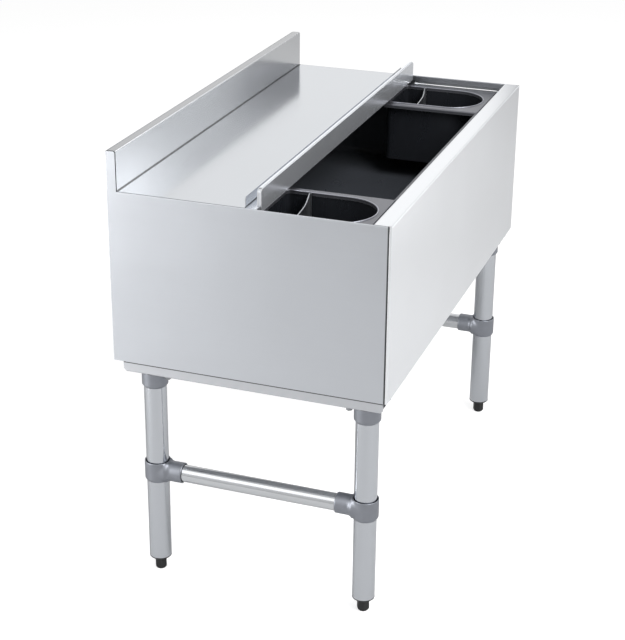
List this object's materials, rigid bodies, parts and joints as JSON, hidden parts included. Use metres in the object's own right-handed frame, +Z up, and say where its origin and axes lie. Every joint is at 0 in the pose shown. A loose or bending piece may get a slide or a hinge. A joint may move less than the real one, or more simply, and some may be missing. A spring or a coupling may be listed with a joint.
{
  "type": "under-bar ice bin",
  "caption": "Stainless under-bar ice bin on legs: a deep black liner, a bottle well at each end, a work deck with a backsplash, and round legs with levelling feet.",
  "frame": {"origin": "on the floor under the middle of the cabinet's length and depth", "axes": "+X along the cabinet to the user's right, +Y from the user's side to the backsplash, +Z up"},
  "size_m": [0.914, 0.508, 0.826],
  "materials": {
    "brushed_panel": "satin",
    "polished_panel": "polished",
    "channel_steel": "satin",
    "foam": "matte",
    "liner_black": "gloss",
    "tub_black": "gloss",
    "well_steel": "satin",
    "divider_steel": "satin",
    "cast_grey": "satin",
    "tube_steel": "satin",
    "foot_black": "satin",
    "bolt_steel": "satin",
    "screw_black": "satin",
    "drain_metal": "polished",
    "gasket_rubber": "matte",
    "pipe_black": "satin"
  },
  "bodies": {
    "frame": {"left_end_panel": "brushed_panel", "right_end_panel": "brushed_panel", "front_panel": "brushed_panel", "back_panel": "brushed_panel", "backsplash": "brushed_panel", "work_deck": "brushed_panel", "guard_panel": "polished_panel", "rear_ledge": "polished_panel", "bin_collar": "polished_panel", "bottom_pan": "brushed_panel", "left_leg_channel": "channel_steel", "right_leg_channel": "channel_steel", "foam_core": "foam", "deck_insulation": "foam", "bin_liner": "liner_black", "front_left_socket": "cast_grey", "front_right_socket": "cast_grey", "rear_left_socket": "cast_grey", "rear_right_socket": "cast_grey", "front_left_leg": "tube_steel", "front_right_leg": "tube_steel", "rear_left_leg": "tube_steel", "rear_right_leg": "tube_steel", "front_left_tee": "cast_grey", "front_right_tee": "cast_grey", "rear_left_tee": "cast_grey", "rear_right_tee": "cast_grey", "left_cross_tube": "tube_steel", "right_cross_tube": "tube_steel", "front_left_insert": "foot_black", "front_right_insert": "foot_black", "rear_left_insert": "foot_black", "rear_right_insert": "foot_black", "socket_bolts": "bolt_steel", "socket_nuts": "bolt_steel", "socket_set_screws": "screw_black", "tee_set_screws": "screw_black", "drain_body": "drain_metal", "drain_gasket": "gasket_rubber", "drain_lock_nut": "drain_metal", "drain_pipe": "pipe_black", "drain_pipe_nut": "pipe_black"},
    "left_well": {"left_well_rim": "well_steel", "left_well_tub": "tub_black"},
    "right_well": {"right_well_rim": "well_steel", "right_well_tub": "tub_black"},
    "left_divider": {"left_well_divider": "divider_steel"},
    "right_divider": {"right_well_divider": "divider_steel"},
    "strainer": {"drain_strainer": "drain_metal"},
    "foot_front_left": {"front_left_foot": "foot_black"},
    "foot_front_right": {"front_right_foot": "foot_black"},
    "foot_rear_left": {"rear_left_foot": "foot_black"},
    "foot_rear_right": {"rear_right_foot": "foot_black"}
  },
  "joints": [
    {"name": "left_well_slide", "type": "slide", "parent": "frame", "child": "left_well", "axis": [1, 0, 0], "range_m": [0, 0.25]},
    {"name": "right_well_slide", "type": "slide", "parent": "frame", "child": "right_well", "axis": [-1, 0, 0], "range_m": [0, 0.25]},
    {"name": "left_divider_lift", "type": "slide", "parent": "left_well", "child": "left_divider", "axis": [0, 0, 1], "range_m": [0, 0.12]},
    {"name": "right_divider_lift", "type": "slide", "parent": "right_well", "child": "right_divider", "axis": [0, 0, 1], "range_m": [0, 0.12]},
    {"name": "strainer_lift", "type": "slide", "parent": "frame", "child": "strainer", "axis": [0, 0, 1], "range_m": [0, 0.15]},
    {"name": "foot_front_left_level", "type": "slide", "parent": "frame", "child": "foot_front_left", "axis": [0, 0, -1], "range_m": [0, 0.025]},
    {"name": "foot_rear_left_level", "type": "slide", "parent": "frame", "child": "foot_rear_left", "axis": [0, 0, -1], "range_m": [0, 0.025]},
    {"name": "foot_front_right_level", "type": "slide", "parent": "frame", "child": "foot_front_right", "axis": [0, 0, -1], "range_m": [0, 0.025]},
    {"name": "foot_rear_right_level", "type": "slide", "parent": "frame", "child": "foot_rear_right", "axis": [0, 0, -1], "range_m": [0, 0.025]}
  ]
}
